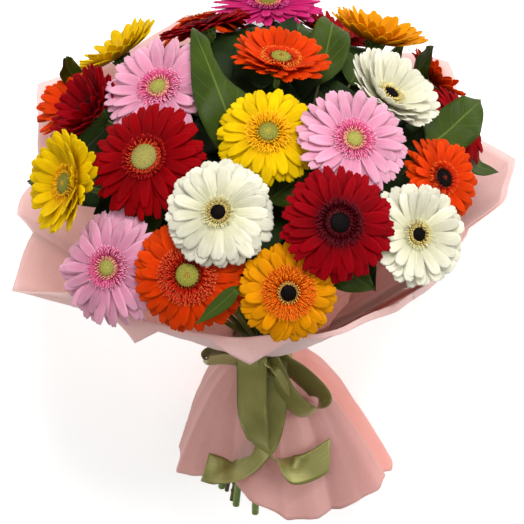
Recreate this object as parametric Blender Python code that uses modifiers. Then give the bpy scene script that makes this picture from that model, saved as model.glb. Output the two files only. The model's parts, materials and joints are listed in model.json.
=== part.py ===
"""A hand-tied bunch of gerberas in a pink wrap with an olive ribbon, lying on its back.

Metres, +Z up, the table at Z = 0. The heads lie towards +Y and the cut stems towards -Y.
"""
import math
import random

import bmesh
import bpy
from mathutils import Matrix, Vector

MM = 0.001

# The bunch lies on its back: its axis rises a little above the table
RISE = math.radians(22)
AXIS = Vector((0, math.cos(RISE), math.sin(RISE)))
FRONT = Vector((0, -math.sin(RISE), math.cos(RISE)))
RIGHT = Vector((1, 0, 0))
TIE = Vector((-6.5 * MM, -73.6 * MM, 110 * MM))

# The heads sit on a dome whose centre is a little above the binding point
DOME_RADIUS = 250 * MM
DOME_HEIGHT = 92 * MM
GAP = 0.4 * MM
WELD = 0.001 * MM

# Flower heads: colour, tilt from the axis, turn round it, diameter, lift off the dome, extra lean
# Turn 0 is the front of the bunch and 90 its right-hand side
HEADS = (
    ("yellow", 51, -135, 95, -3, 0),
    ("orange", 52, -112, 88, -14, 10),
    ("dark_red", 38, -85, 90, -4, 14),
    ("pink", 22, -72, 102, -2, 0),
    ("red", 34, -43, 104, 6, 0),
    ("yellow", 48, -64, 96, 0, 12),
    ("pink", 56, -39, 96, -3, 0),
    ("orange", 52, -18, 98, 0, 0),
    ("white", 40, -12, 96, 16, 0),
    ("yellow", 23, 3, 89, 4, 0),
    ("orange", 4, 70, 88, -6, 4),
    ("dark_red", 25, -149, 88, -10, 6),
    ("magenta", 40, 178, 96, 0, -22),
    ("red", 47, 156, 80, -14, 2),
    ("amber", 37, 134, 90, -6, -16),
    ("white", 27, 75, 96, 0, 0),
    ("pink", 29, 37, 97, 11, 0),
    ("dark_red", 43, 20, 98, 20, 0),
    ("orange", 45, 61, 80, -2, 4),
    ("white", 50, 41, 90, 8, 0),
    ("red", 48, 96, 82, -10, 4),
    ("orange", 51, 120, 78, -10, 4),
    ("amber", 54, 6, 84, 4, 0),
    ("orange", 43, -159, 80, -6, 0),
)

# One head: two layers of petals on a receptacle, with the disc of florets in the middle
PETALS = 11
ROOT = 0.18
NOTCH = 0.48
RIB = 0.56
SHOULDER = 0.86
SHOULDER_TURN = 0.30
PETAL_HALF = 0.6 * MM
UPPER = {"phase": 0.0, "root": 1.2 * MM, "rib": 5.0 * MM, "tip": 3.5 * MM}
LOWER = {"phase": 0.5, "root": -1.2 * MM, "rib": 0.8 * MM, "tip": -3.0 * MM}
BEHIND = 10 * MM
BEND_MARGIN = 4 * MM
BEND_FADE = 22 * MM
RECEPTACLE_RADIUS = 5.5 * MM
RECEPTACLE_FOOT = -4.0 * MM
DISC = 0.26
DISC_SIDES = 10
# A disc's crown from its middle outwards, as (share of its radius, height in mm)
DISC_CROWN = ((0.0, 5.6), (0.50, 4.6), (0.86, 6.4), (1.0, 3.6))
CUP_SIDES = 6
CUP_RADIUS = 8.5 * MM
CUP_HEIGHT = 12 * MM
CUP_LIP = 3 * MM
CUP_MOUTH = 0.94
CUP_NECK = 3.4 * MM
GOLDEN_TURN = math.pi * (3 - math.sqrt(5))

# Stems: pressed into one round bundle where they are tied, spreading to the heads and to the cut ends
STEM_RADIUS = 2.6 * MM
STEM_STEPS = 3
STEM_SUNK = 6 * MM
HEAD_HANDLE = 0.35
BUNDLE_HANDLE = 0.30
TUBE_RESOLUTION = 1
CORE_RADIUS = 26.3 * MM
CORE_HALF = 34 * MM
CORE_SIDES = 16
SLOT_SCALE = 0.108
CUT_LOW = 180 * MM
CUT_SPREAD = 43 * MM
CUT_SCATTER = 14 * MM
CUT_START = 19 * MM

# Wrap: rim and hem of the outer sheet as (turn, radius, height along the axis) in mm
RIM = (
    (-161, 226, 240), (-143, 235, 200), (-125, 268, 202), (-106, 216, 162), (-95, 226, 146),
    (-86, 211, 152), (-76, 234, 118), (-57, 207, 162), (-30, 190, 176), (0, 188, 178), (36, 193, 185),
    (55, 182, 174), (80, 192, 172), (106, 250, 174), (117, 224, 184), (131, 234, 224), (158, 212, 208),
    (180, 222, 214),
)
HEM = (
    (-135, 80, -138), (-90, 78, -118), (-45, 83, -116), (-15, 86, -128), (15, 88, -147), (45, 102, -156),
    (72, 120, -150), (95, 118, -146), (135, 100, -150), (180, 86, -146),
)
# The inner sheet stands inside the outer one on the right-hand side
INNER_TURNS = (46, 146)
COLUMN_STEP = 12
WAIST_RADIUS = 28.1 * MM
WAIST_HALF = 13 * MM
SHEET = 1.0 * MM
SHEET_GAP = 0.6 * MM
SKIRT_ROWS = (1.0, 0.72, 0.45, 0.22, 0.07)
COLLAR_ROWS = (0.10, 0.28, 0.52, 0.74, 0.93, 1.0)
INNER_ROWS = (0.28, 0.52, 0.74, 0.93)
SKIRT_SWELL = 0.55
COLLAR_SWELL = 0.86
PLEATS = 6
PLEAT_DEPTH = 0.07

# Leafy stems: the twig's place in the bound bundle as (radius in mm, turn), then its leaves
# A leaf is its foot and tip as (tilt, turn, lift off the dome), its width in mm and the heads it passes over
LEAFY_STEMS = (
    ((23, -93), ((59, -123, -26), (59, -126, 14), 24, ()), ((34, -64, -62), (40, -68, -20), 32, ()),
     ((54, -78, -27), (62, -88, -9), 14, ())),
    ((6.5, -33), ((29, -17, -26), (20, -130, -10), 46, (12,)), ((40, -36, -30), (50, -46, -26), 34, ())),
    ((9.5, 157), ((13, 72, -30), (40, 152, -8), 38, (14,))),
    ((23, 141), ((50, 136, -24), (50, 137, 14), 20, ()), ((46, 129, -36), (56, 128, 16), 28, ())),
    ((23, 78), ((40, 76, -22), (61, 113, 14), 44, (21, 22)), ((47, 80, -28), (63, 88, -6), 26, ())),
    ((16.3, 7), ((34, 2, -32), (29, 30, -24), 34, ()), ((53, -6, -24), (63, -15, -8), 24, ()),
     ((49, 18, -30), (58, 30, -24), 32, ())),
)
VIEWED = (50, 0)
BLADE_SHARES = (0.0, 0.16, 0.40, 0.66, 0.88, 1.0)
BLADE_WIDTHS = (0.0, 0.62, 1.0, 0.82, 0.38, 0.0)
BLADE_HALF = 0.45 * MM
BLADE_FOLD = 0.16
BLADE_ARCH = 0.08
BLADE_DEPTH = 12 * MM
BLADE_CLEAR = 9 * MM
LEAF_LEVEL = 20 * MM
TWIG_RADIUS = 1.2 * MM
BRANCH_RADIUS = 1.0 * MM
BRANCH_STEP = 0.4
TWIG_HANDLE = 0.40
BLADE_HANDLE = 0.15

# Ribbon: a band and knot at the waist, two loops and two tails
# A strip's points are (right, height along the axis, front) in mm from the binding point
RIBBON_HALF = 12.5 * MM
RIBBON_THICK = 0.9 * MM
BAND_RADIUS = 29.0 * MM
BAND_SIDES = 24
BAND_HALF = 12 * MM
KNOT = (11 * MM, 11 * MM, 4.5 * MM)
KNOT_FRONT = 34 * MM
RIGHT_LOOP = (
    (2, -2, 37), (20, 5, 40), (36, 4, 41), (52, -10, 42), (62, -27, 42), (63, -39, 45), (53, -43, 51),
    (38, -36, 56), (26, -22, 53), (15, -8, 45), (2, -3, 36),
)
LEFT_LOOP = (
    (-4, -1, 34), (-20, 4, 45), (-38, 8, 48), (-52, 10, 47), (-56, 8, 42), (-50, 4, 38), (-34, 2, 38),
    (-18, -1, 39), (-4, -2, 33),
)
RIGHT_SIDE = (0.42, 0.84, 0.30)
LEFT_SIDE = (-0.30, 0.90, 0.20)
# The tails lie on the skirt: (turn, share of the skirt from waist to hem, lift in mm)
TAIL_TO_RIGHT = (
    (-10, 0.02, 8), (-12, 0.07, 9), (-12, 0.16, 7), (-8, 0.26, 5), (-3, 0.38, 4), (5, 0.50, 4),
    (17, 0.60, 5), (32, 0.64, 8), (46, 0.60, 13),
)
TAIL_TO_LEFT = (
    (14, 0.02, 9), (20, 0.08, 10), (18, 0.17, 9), (13, 0.27, 8), (8, 0.40, 8), (0, 0.50, 8),
    (-12, 0.57, 6), (-26, 0.61, 6), (-40, 0.60, 10),
)
TAIL_CUT = 0.6

COLOURS = {
    "yellow": (0.80, 0.46, 0.01), "orange": (0.75, 0.10, 0.01), "dark_red": (0.20, 0.005, 0.01),
    "red": (0.36, 0.005, 0.01), "pink": (0.78, 0.32, 0.48), "white": (0.80, 0.78, 0.62),
    "magenta": (0.55, 0.03, 0.16), "amber": (0.80, 0.33, 0.01), "eye_green": (0.28, 0.30, 0.07),
    "eye_dark": (0.02, 0.008, 0.008), "stem": (0.10, 0.16, 0.03), "leaf": (0.05, 0.11, 0.02),
    "wrap": (0.72, 0.38, 0.36), "ribbon": (0.22, 0.23, 0.07),
}
DARK_EYED = {9, 16, 18, 19, 20, 23}


def clear_scene():
    for item in list(bpy.data.objects):
        bpy.data.objects.remove(item, do_unlink=True)


def make_collection(name):
    made = bpy.data.collections.new(name)
    bpy.context.scene.collection.children.link(made)
    return made


def material(name, colour, roughness):
    made = bpy.data.materials.new(name)
    made.use_nodes = True
    shader = made.node_tree.nodes["Principled BSDF"]
    shader.inputs["Base Color"].default_value = (*colour, 1)
    shader.inputs["Roughness"].default_value = roughness
    shader.inputs["Metallic"].default_value = 0.0
    return made


def direction(tilt, turn):
    """Unit vector at an angle from the bunch's axis, on the side given by turn."""
    side = FRONT * math.cos(turn) + RIGHT * math.sin(turn)
    return AXIS * math.cos(tilt) + side * math.sin(tilt)


def along(height, radius, turn):
    """Point at a height along the bunch's axis and a distance from it."""
    side = FRONT * math.cos(turn) + RIGHT * math.sin(turn)
    return TIE + AXIS * height + side * radius


def as_object(name, bm):
    mesh = bpy.data.meshes.new(name)
    bm.to_mesh(mesh)
    bm.free()
    return bpy.data.objects.new(name, mesh)


def keep(item, colour, roughness):
    """Makes an object one of the bunch's parts, with its own material."""
    item.data.materials.append(material(item.name, colour, roughness))
    PARTS.objects.link(item)
    return item


def closed_mesh(item):
    """The finished mesh of a curve or a modified object, welded, in place of the object."""
    PARTS.objects.link(item)
    graph = bpy.context.evaluated_depsgraph_get()
    mesh = bpy.data.meshes.new_from_object(item.evaluated_get(graph))
    bm = bmesh.new()
    bm.from_mesh(mesh)
    bm.transform(item.matrix_world)
    bmesh.ops.remove_doubles(bm, verts=bm.verts[:], dist=WELD)
    bmesh.ops.recalc_face_normals(bm, faces=bm.faces[:])
    bpy.data.meshes.remove(mesh)
    bpy.data.objects.remove(item)
    return bm


def turned(name, profile, sides, place, closed=False):
    """An object turned round its own Z, from (radius, height) points down its outer side."""
    bm = bmesh.new()
    verts = [bm.verts.new((radius, 0, height)) for radius, height in profile]
    for upper, lower in zip(verts, verts[1:] + verts[:1] if closed else verts[1:]):
        bm.edges.new((upper, lower))
    made = as_object(name, bm)
    made.matrix_world = place
    screw = made.modifiers.new("turning", "SCREW")
    screw.axis = "Z"
    screw.steps = screw.render_steps = sides
    screw.use_merge_vertices = True
    screw.merge_threshold = WELD
    return made


def thicken(item, thickness, offset):
    solid = item.modifiers.new("thickness", "SOLIDIFY")
    solid.thickness = thickness
    solid.offset = offset


def drop_scraps(mesh):
    """Deletes the small loose bits that a union can leave, so that one body stays."""
    bm = bmesh.new()
    bm.from_mesh(mesh)
    left = set(bm.verts)
    islands = []
    while left:
        island, edge = set(), [left.pop()]
        while edge:
            vert = edge.pop()
            island.add(vert)
            near = {link.other_vert(vert) for link in vert.link_edges} & left
            left -= near
            edge += near
        islands.append(island)
    islands.sort(key=len)
    for island in islands[:-1]:
        bmesh.ops.delete(bm, geom=list(island), context="VERTS")
    bm.to_mesh(mesh)
    bm.free()


def fuse(name, pieces, colour, roughness):
    """Joins closed meshes into one body with a Boolean union on a collection."""
    for bm in pieces:
        bmesh.ops.triangulate(bm, faces=bm.faces[:])
    group = make_collection(name + "_pieces")
    for index, bm in enumerate(pieces[1:]):
        group.objects.link(as_object(f"{name}_piece_{index}", bm))
    whole = keep(as_object(name, pieces[0]), colour, roughness)
    union = whole.modifiers.new("union", "BOOLEAN")
    union.operation = "UNION"
    union.operand_type = "COLLECTION"
    union.collection = group
    union.solver = "MANIFOLD"
    graph = bpy.context.evaluated_depsgraph_get()
    fused = bpy.data.meshes.new_from_object(whole.evaluated_get(graph))
    whole.modifiers.remove(union)
    drop_scraps(fused)
    fused.materials.clear()
    fused.materials.append(whole.data.materials[0])
    whole.data = fused
    for item in list(group.objects):
        bpy.data.objects.remove(item, do_unlink=True)
    bpy.data.collections.remove(group)


class Head:
    """One flower head's place: centre, facing normal and two directions across it."""

    def __init__(self, number, row):
        colour, tilt, turn, diameter, lift, lean = row
        self.number = number
        self.colour = colour
        self.radius = diameter * MM / 2
        self.lift = lift * MM
        outward = direction(math.radians(tilt), math.radians(turn))
        self.centre = TIE + AXIS * DOME_HEIGHT + outward * (DOME_RADIUS + self.lift)
        self.normal = direction(math.radians(tilt + lean), math.radians(turn))
        across = self.normal.cross(FRONT if abs(self.normal.dot(FRONT)) < 0.9 else AXIS).normalized()
        self.across = Matrix.Rotation(number * GOLDEN_TURN, 3, self.normal) @ across
        self.up = self.normal.cross(self.across)
        self.place = Matrix((self.across, self.up, self.normal)).transposed().to_4x4()
        self.place.translation = self.centre

    def point(self, radius, angle, height):
        flat = self.across * math.cos(angle) + self.up * math.sin(angle)
        return self.centre + flat * radius + self.normal * height

    def bend(self, point, depth, margin):
        """How far a neighbour's point has to go down to pass behind this head's petals."""
        offset = point - self.centre
        height = offset.dot(self.normal)
        radius = (offset - self.normal * height).length
        fade = 1 - (radius - self.radius - margin) / BEND_FADE
        return max(height + depth, 0) * min(max(fade, 0), 1)

    def lift_over(self, point, clear, margin):
        """How far a leaf's point has to rise to pass over this head, if it is about level with it."""
        offset = point - self.centre
        height = offset.dot(self.normal)
        if height < -LEAF_LEVEL:
            return 0.0
        radius = (offset - self.normal * height).length
        fade = 1 - (radius - self.radius - margin) / BEND_FADE
        return max(clear - height, 0) * min(max(fade, 0), 1)


def petal_point(head, share, angle, layer):
    """Middle of a petal's thickness, bent behind the heads that stand in front."""
    radius = head.radius * share
    if share < RIB:
        height = layer["root"] + (layer["rib"] - layer["root"]) * max(share - ROOT, 0) / (RIB - ROOT)
    else:
        height = layer["rib"] + (layer["tip"] - layer["rib"]) * (share - RIB) / (1 - RIB)
    if share > ROOT:
        flat = head.point(radius, angle, 0)
        height -= max([other.bend(flat, BEHIND, BEND_MARGIN) for other in BUNCH if other.lift > head.lift],
                      default=0)
    return head.point(radius, angle, height)


def petal_layer(bm, head, layer):
    """Both faces of a thin dish with its petals cut out, open round the root inside."""
    step = 2 * math.pi / PETALS
    lift = head.normal * PETAL_HALF
    roots, notches, ribs, edges = [], [], [], []
    for index in range(PETALS):
        start = (index + layer["phase"]) * step
        centre = start + step / 2
        root = petal_point(head, ROOT, start, layer)
        rib = petal_point(head, RIB, centre, layer)
        roots.append((bm.verts.new(root + lift), bm.verts.new(root - lift)))
        ribs.append((bm.verts.new(rib + lift), bm.verts.new(rib - lift)))
        notches.append(bm.verts.new(petal_point(head, NOTCH, start, layer)))
        turns = ((SHOULDER, -SHOULDER_TURN), (1.0, 0.0), (SHOULDER, SHOULDER_TURN))
        edges.append([bm.verts.new(petal_point(head, out, centre + step * swing, layer))
                      for out, swing in turns])
    for index in range(PETALS):
        after = (index + 1) % PETALS
        outline = [notches[index], *edges[index], notches[after]]
        for side in (0, 1):
            root, rib, root_after = roots[index][side], ribs[index][side], roots[after][side]
            faces = [(root, rib, root_after), (root, outline[0], rib), (root_after, rib, outline[4])]
            faces += [(rib, outline[k], outline[k + 1]) for k in range(4)]
            for face in faces:
                bm.faces.new(face)
    return [pair[0] for pair in roots], [pair[1] for pair in roots]


def make_petals(head):
    """Two layers of petals on one receptacle: a single body, like the real head."""
    bm = bmesh.new()
    top, under_top = petal_layer(bm, head, UPPER)
    over_foot, foot = petal_layer(bm, head, LOWER)
    middle = bm.verts.new(head.point(0, 0, UPPER["root"] + PETAL_HALF))
    low = bm.verts.new(head.point(0, 0, RECEPTACLE_FOOT))
    ring = [bm.verts.new(head.point(RECEPTACLE_RADIUS, 2 * math.pi * (k + 0.5) / PETALS, RECEPTACLE_FOOT))
            for k in range(PETALS)]
    for k in range(PETALS):
        after = (k + 1) % PETALS
        bm.faces.new((middle, top[k], top[after]))
        bm.faces.new((under_top[k], under_top[after], over_foot[k]))
        bm.faces.new((over_foot[k], over_foot[after], under_top[after]))
        bm.faces.new((foot[k], foot[after], ring[after]))
        bm.faces.new((ring[after], ring[k], foot[k]))
        bm.faces.new((ring[k], ring[after], low))
    bmesh.ops.recalc_face_normals(bm, faces=bm.faces[:])
    name = f"head_{head.number:02d}_{head.colour}_petals"
    keep(as_object(name, bm), COLOURS[head.colour], 0.6)


def make_disc(head):
    width = head.radius * DISC
    foot = UPPER["root"] + PETAL_HALF + GAP
    profile = [(width * share, height * MM) for share, height in DISC_CROWN] + [(0, foot)]
    eye = "eye_dark" if head.number in DARK_EYED else "eye_green"
    name = f"head_{head.number:02d}_disc_florets"
    keep(turned(name, profile, DISC_SIDES, head.place), COLOURS[eye], 0.8)


def tube(points, radius):
    """Closed tube through points: a curve with a round bevel and filled caps."""
    line = bpy.data.curves.new("tube", "CURVE")
    line.dimensions = "3D"
    line.bevel_depth = radius
    line.bevel_resolution = TUBE_RESOLUTION
    line.use_fill_caps = True
    spline = line.splines.new("POLY")
    spline.points.add(len(points) - 1)
    for made, point in zip(spline.points, points):
        made.co = (*point, 1)
    return closed_mesh(bpy.data.objects.new("tube", line))


def curve_points(start, leave, arrive, end, steps):
    """Points on a smooth arc from start to end with the given handles."""
    points = []
    for index in range(steps + 1):
        t = index / steps
        points.append(start * (1 - t) ** 3 + leave * 3 * t * (1 - t) ** 2
                      + arrive * 3 * t * t * (1 - t) + end * t ** 3)
    return points


def slot(point, height):
    """Where a stem that serves this point passes the end of the bound bundle."""
    offset = point - TIE
    flat = offset - AXIS * offset.dot(AXIS)
    return TIE + AXIS * height + flat * SLOT_SCALE


def make_stems():
    """All flower stems with the green cups under the heads, one body at the binding point."""
    draw = random.Random(7)
    core = bmesh.new()
    bmesh.ops.create_cone(core, cap_ends=True, segments=CORE_SIDES, radius1=CORE_RADIUS, radius2=CORE_RADIUS,
                          depth=2 * CORE_HALF, matrix=BUNDLE)
    pieces = [core]
    cup_top = RECEPTACLE_FOOT - GAP
    cup_foot = cup_top - CUP_HEIGHT
    cup = ((0, cup_top), (CUP_RADIUS * CUP_MOUTH, cup_top), (CUP_RADIUS, cup_top - CUP_LIP),
           (CUP_NECK, cup_foot), (0, cup_foot))
    for index, head in enumerate(BUNCH):
        pieces.append(closed_mesh(turned("cup", cup, CUP_SIDES, head.place)))
        start = head.point(0, 0, (cup_top + cup_foot) / 2)
        end = slot(head.centre, CORE_HALF - STEM_SUNK)
        reach = (end - start).length
        leave = start - head.normal * reach * HEAD_HANDLE
        arrive = end + (head.centre - TIE).normalized() * reach * BUNDLE_HANDLE
        pieces.append(tube(curve_points(start, leave, arrive, end, STEM_STEPS), STEM_RADIUS))
        angle = index * GOLDEN_TURN
        spread = math.sqrt((index + 0.5) / len(BUNCH))
        cut = CUT_LOW + CUT_SCATTER * draw.uniform(-1, 1)
        low_start = along(STEM_SUNK - CORE_HALF, CUT_START * spread, angle)
        low_end = along(-cut, CUT_SPREAD * spread, angle)
        low_end.z = max(low_end.z, 2 * STEM_RADIUS)
        pieces.append(tube([low_start, low_end], STEM_RADIUS))
    fuse("flower_stems_with_cups", pieces, COLOURS["stem"], 0.5)


def table_value(table, turn, column):
    """Value of a rim or hem table at a turn, straight between its points, round the ring."""
    turn = (turn + 180) % 360 - 180
    rows = [(table[-1][0] - 360, *table[-1][1:]), *table, (table[0][0] + 360, *table[0][1:])]
    for low, high in zip(rows, rows[1:]):
        if low[0] <= turn <= high[0]:
            share = (turn - low[0]) / (high[0] - low[0])
            return (low[column] + (high[column] - low[column]) * share) * MM
    return table[-1][column] * MM


def columns(table):
    """Turns of the sheet's columns: one at each table point and some between."""
    turns = [row[0] for row in table]
    made = []
    for low, high in zip(turns, turns[1:] + [turns[0] + 360]):
        parts = max(1, round((high - low) / COLUMN_STEP))
        made += [low + (high - low) * k / parts for k in range(parts)]
    return made


def on_table(point):
    """A sheet that would sink into the table lies flat on it."""
    if point.z < 0:
        point.z = 0
    return point


def skirt_point(turn, share, lift=0.0):
    """Outer sheet below the waist: share 0 is the waist and 1 the hem."""
    hem_radius = table_value(HEM, turn, 1)
    hem_height = table_value(HEM, turn, 2)
    pleat = 1 + PLEAT_DEPTH * share * math.cos(math.radians(turn) * PLEATS)
    radius = WAIST_RADIUS + (hem_radius - WAIST_RADIUS) * share ** SKIRT_SWELL * pleat
    height = -WAIST_HALF + (hem_height + WAIST_HALF) * share
    return on_table(along(height, radius + lift, math.radians(turn)))


def collar_point(turn, share, inset=0.0):
    """Outer sheet above the waist: share 0 is the waist and 1 the rim."""
    rim_radius = table_value(RIM, turn, 1)
    rim_height = table_value(RIM, turn, 2)
    radius = WAIST_RADIUS + (rim_radius - WAIST_RADIUS) * share ** COLLAR_SWELL
    height = WAIST_HALF + (rim_height - WAIST_HALF) * share
    point = on_table(along(height, radius, math.radians(turn)))
    inwards = (AXIS * radius - (point - TIE - AXIS * height)).normalized()
    return point + inwards * inset


def sheet_solid(name, rows, closed):
    """A thin sheet through rows of points, thickened inwards."""
    bm = bmesh.new()
    grid = [[bm.verts.new(point) for point in row] for row in rows]
    count = len(grid[0])
    for lower, upper in zip(grid, grid[1:]):
        for k in range(count if closed else count - 1):
            after = (k + 1) % count
            bm.faces.new((lower[k], lower[after], upper[after], upper[k]))
    bmesh.ops.triangulate(bm, faces=bm.faces[:])
    thicken(keep(as_object(name, bm), COLOURS["wrap"], 0.8), SHEET, -1)


def make_wrap():
    turns = columns(RIM)
    rows = [[skirt_point(turn, share) for turn in turns] for share in SKIRT_ROWS]
    rows.append([skirt_point(turn, 0) for turn in turns])
    rows.append([collar_point(turn, 0) for turn in turns])
    rows += [[collar_point(turn, share) for turn in turns] for share in COLLAR_ROWS]
    sheet_solid("wrap_outer_sheet", rows, True)
    inner = [turn for turn in turns if INNER_TURNS[0] <= turn <= INNER_TURNS[1]]
    rows = [[collar_point(turn, share, SHEET + SHEET_GAP) for turn in inner] for share in INNER_ROWS]
    sheet_solid("wrap_inner_sheet", rows, False)


def leaf_point(place):
    tilt, turn, lift = place
    outward = direction(math.radians(tilt), math.radians(turn))
    return TIE + AXIS * DOME_HEIGHT + outward * (DOME_RADIUS + lift * MM)


def leaf_place(foot, tip, share):
    """Point on the leaf's rib, following the dome from foot to tip."""
    middle = TIE + AXIS * DOME_HEIGHT
    outward = (foot - middle).normalized().lerp((tip - middle).normalized(), share).normalized()
    radius = (foot - middle).length * (1 - share) + (tip - middle).length * share
    return middle + outward * (radius + (tip - foot).length * BLADE_ARCH * math.sin(math.pi * share))


def pass_heads(point, over):
    """Shift that takes a leaf's point over the heads it lies on and behind all others."""
    shift = Vector((0, 0, 0))
    for head in BUNCH:
        if head.number in over:
            move = head.normal * head.lift_over(point, BLADE_CLEAR, BEND_MARGIN)
        else:
            move = head.normal * -head.bend(point, BLADE_DEPTH, BEND_MARGIN)
        if move.length > shift.length:
            shift = move
    return shift


def leaf_blade(foot, tip, width, over):
    """A pointed blade, thickest along its rib, a little folded, passing behind the heads in front."""
    bm = bmesh.new()
    run = tip - foot
    middle = (foot + tip) / 2 - TIE - AXIS * DOME_HEIGHT
    facing = middle.normalized() + direction(*map(math.radians, VIEWED))
    across = run.cross(facing).normalized()
    outward = across.cross(run).normalized()
    rows = []
    for share, spread in zip(BLADE_SHARES, BLADE_WIDTHS):
        rib = leaf_place(foot, tip, share)
        half = width / 2 * spread
        edge = rib + outward * half * BLADE_FOLD
        rib += pass_heads(rib, over)
        row = [rib]
        if spread:
            row = [rib + outward * BLADE_HALF, rib - outward * BLADE_HALF]
            row += [point + pass_heads(point, over) for point in (edge - across * half, edge + across * half)]
        rows.append([bm.verts.new(point) for point in row])
    (start,), *made, (end,) = rows
    for side in (0, 1):
        for edge in (2, 3):
            bm.faces.new((start, made[0][side], made[0][edge]))
            bm.faces.new((end, made[-1][side], made[-1][edge]))
            for low, high in zip(made, made[1:]):
                bm.faces.new((low[side], high[side], high[edge]))
                bm.faces.new((low[side], high[edge], low[edge]))
    bmesh.ops.recalc_face_normals(bm, faces=bm.faces[:])
    return bm, rows[0][0].co.copy(), (made[0][0].co + made[0][1].co) / 2


def make_leaves():
    """Leafy stems: a twig from the bound bundle, its branches and their blades, fused."""
    for number, (place, *leaves) in enumerate(LEAFY_STEMS, 1):
        pieces = []
        start = along(CORE_HALF + GAP, place[0] * MM, math.radians(place[1]))
        radius = TWIG_RADIUS
        for order, (foot, tip, width, over) in enumerate(leaves, 1):
            blade, foot, inside = leaf_blade(leaf_point(foot), leaf_point(tip), width * MM, over)
            pieces.append(blade)
            reach = (foot - start).length
            leave = start + (foot - TIE).normalized() * reach * TWIG_HANDLE
            arrive = foot - (inside - foot).normalized() * reach * BLADE_HANDLE
            path = curve_points(start, leave, arrive, foot, STEM_STEPS)
            pieces.append(tube([path[0], path[0] + AXIS * TWIG_RADIUS, *path[1:], inside], radius))
            if radius == TWIG_RADIUS:
                twig = path
                radius = BRANCH_RADIUS
            start = twig[0].lerp(twig[1], BRANCH_STEP * order)
        fuse(f"leafy_stem_{number}", pieces, COLOURS["leaf"], 0.35)


def strip(points, sides, cut=0.0):
    """A thick ribbon through points, with its way across at each, and a slanting last end."""
    bm = bmesh.new()
    rows = []
    last = len(points) - 1
    for index, (point, side) in enumerate(zip(points, sides)):
        heading = (points[min(index + 1, last)] - points[max(index - 1, 0)]).normalized()
        reach = (side - heading * side.dot(heading)).normalized() * RIBBON_HALF
        if index == last:
            reach += heading * RIBBON_HALF * cut
        rows.append((bm.verts.new(point + reach), bm.verts.new(point - reach)))
    for row, after in zip(rows, rows[1:]):
        bm.faces.new((row[0], row[1], after[1], after[0]))
    bmesh.ops.triangulate(bm, faces=bm.faces[:])
    made = as_object("strip", bm)
    thicken(made, RIBBON_THICK, 0)
    return closed_mesh(made)


def from_tie(place):
    right, height, front = place
    return TIE + (RIGHT * right + AXIS * height + FRONT * front) * MM


def loop_strip(places, side):
    vector = RIGHT * side[0] + AXIS * side[1] + FRONT * side[2]
    return strip([from_tie(place) for place in places], [vector] * len(places))


def tail_strip(places, cut):
    """A tail lying on the skirt, its flat side against the sheet."""
    points = [skirt_point(turn, share, lift * MM) for turn, share, lift in places]
    sides = []
    for index, (turn, share, lift) in enumerate(places):
        heading = points[min(index + 1, len(points) - 1)] - points[max(index - 1, 0)]
        outward = skirt_point(turn, share, 1.0) - skirt_point(turn, share)
        sides.append(outward.cross(heading))
    return strip(points, sides, cut)


def ring_band():
    outer = BAND_RADIUS + RIBBON_THICK
    profile = ((outer, BAND_HALF), (outer, -BAND_HALF), (BAND_RADIUS, -BAND_HALF), (BAND_RADIUS, BAND_HALF))
    return closed_mesh(turned("band", profile, BAND_SIDES, BUNDLE, closed=True))


def knot_block():
    bm = bmesh.new()
    bmesh.ops.create_uvsphere(bm, u_segments=8, v_segments=4, radius=1)
    bmesh.ops.scale(bm, vec=KNOT, verts=bm.verts[:])
    bmesh.ops.translate(bm, vec=(0, 0, KNOT_FRONT), verts=bm.verts[:])
    bmesh.ops.transform(bm, matrix=BOW, verts=bm.verts[:])
    return bm


def make_ribbon():
    pieces = [ring_band(), knot_block(), loop_strip(RIGHT_LOOP, RIGHT_SIDE), loop_strip(LEFT_LOOP, LEFT_SIDE),
              tail_strip(TAIL_TO_RIGHT, TAIL_CUT), tail_strip(TAIL_TO_LEFT, -TAIL_CUT)]
    fuse("ribbon_band_and_bow", pieces, COLOURS["ribbon"], 0.35)


clear_scene()
PARTS = make_collection("gerbera_bouquet")
# The binding point's frames: Z along the bunch for the bundle and band, Z to the front for the bow
BOW = Matrix((RIGHT, AXIS, FRONT)).transposed().to_4x4()
BOW.translation = TIE
BUNDLE = BOW @ Matrix.Rotation(math.radians(-90), 4, "X")
BUNCH = [Head(index + 1, row) for index, row in enumerate(HEADS)]
for flower in BUNCH:
    make_petals(flower)
    make_disc(flower)
make_stems()
make_leaves()
make_wrap()
make_ribbon()
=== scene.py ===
"""A hand-tied bunch of gerberas in a pink wrap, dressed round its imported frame. Metres, +Z up."""
import json
import math
import random

import bmesh
import bpy
import numpy as np
from mathutils import Matrix, Vector, noise


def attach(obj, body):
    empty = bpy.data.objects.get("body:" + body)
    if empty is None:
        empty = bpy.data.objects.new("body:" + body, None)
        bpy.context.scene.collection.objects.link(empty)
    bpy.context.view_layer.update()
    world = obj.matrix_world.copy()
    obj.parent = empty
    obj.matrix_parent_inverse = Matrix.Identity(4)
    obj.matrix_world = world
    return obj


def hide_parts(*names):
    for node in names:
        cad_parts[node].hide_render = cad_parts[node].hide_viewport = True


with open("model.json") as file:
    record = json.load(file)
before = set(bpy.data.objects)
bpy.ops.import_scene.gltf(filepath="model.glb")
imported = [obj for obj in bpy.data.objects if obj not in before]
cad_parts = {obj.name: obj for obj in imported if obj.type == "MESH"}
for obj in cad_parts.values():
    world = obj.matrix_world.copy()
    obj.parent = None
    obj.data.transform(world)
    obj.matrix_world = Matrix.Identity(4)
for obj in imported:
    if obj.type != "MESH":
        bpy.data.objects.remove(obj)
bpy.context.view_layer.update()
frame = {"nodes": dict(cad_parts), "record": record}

# Places of the flower heads
# The bunch lies on its back and its heads sit on a dome round its binding point. Each head's centre, size
# and facing are read from its disc of florets, and its colour from the name of its petals.
MM = 0.001
RISE = math.radians(22)
AXIS = Vector((0, math.cos(RISE), math.sin(RISE)))
FRONT = Vector((0, -math.sin(RISE), math.cos(RISE)))
RIGHT = Vector((1, 0, 0))
TIE = Vector((-6.5, -73.6, 110)) * MM
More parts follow.
